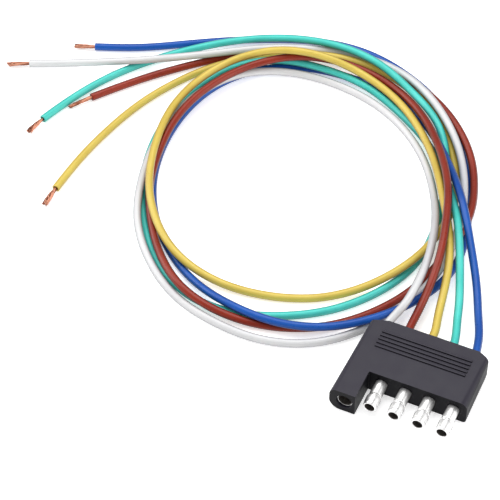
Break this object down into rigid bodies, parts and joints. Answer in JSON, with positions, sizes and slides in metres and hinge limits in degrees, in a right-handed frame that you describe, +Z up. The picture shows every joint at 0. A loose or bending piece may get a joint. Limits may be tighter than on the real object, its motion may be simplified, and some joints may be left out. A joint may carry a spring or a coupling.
{
  "type": "trailer wiring connector",
  "caption": "Flat in-line trailer wiring plug: moulded body with bullet contacts, one shrouded socket and loose colour-coded wire leads.",
  "frame": {"origin": "middle of the connector's own outline, on the flat underside that it rests on, without the wires", "axes": "+X along the row of contacts from the shrouded socket to the last bullet, -Y the way the contacts point, +Y the way the wires leave, +Z up from the underside"},
  "size_m": [0.2504, 0.1875, 0.0149],
  "materials": {
    "housing_vinyl": "satin moulded vinyl",
    "plated_brass": "bright tin plating on brass",
    "bare_copper": "bare copper strands",
    "insulation_white": "smooth extruded vinyl",
    "insulation_brown": "smooth extruded vinyl",
    "insulation_yellow": "smooth extruded vinyl",
    "insulation_green": "smooth extruded vinyl",
    "insulation_blue": "smooth extruded vinyl"
  },
  "bodies": {
    "root": {"housing": "housing_vinyl", "socket_terminal_white": "plated_brass", "bullet_terminal_brown": "plated_brass", "bullet_terminal_yellow": "plated_brass", "bullet_terminal_green": "plated_brass", "bullet_terminal_blue": "plated_brass", "crimped_conductor_white": "bare_copper", "crimped_conductor_brown": "bare_copper", "crimped_conductor_yellow": "bare_copper", "crimped_conductor_green": "bare_copper", "crimped_conductor_blue": "bare_copper", "wire_white": "insulation_white", "wire_brown": "insulation_brown", "wire_yellow": "insulation_yellow", "wire_green": "insulation_green", "wire_blue": "insulation_blue", "copper_end_white": "bare_copper", "copper_end_brown": "bare_copper", "copper_end_yellow": "bare_copper", "copper_end_green": "bare_copper", "copper_end_blue": "bare_copper"}
  },
  "joints": []
}
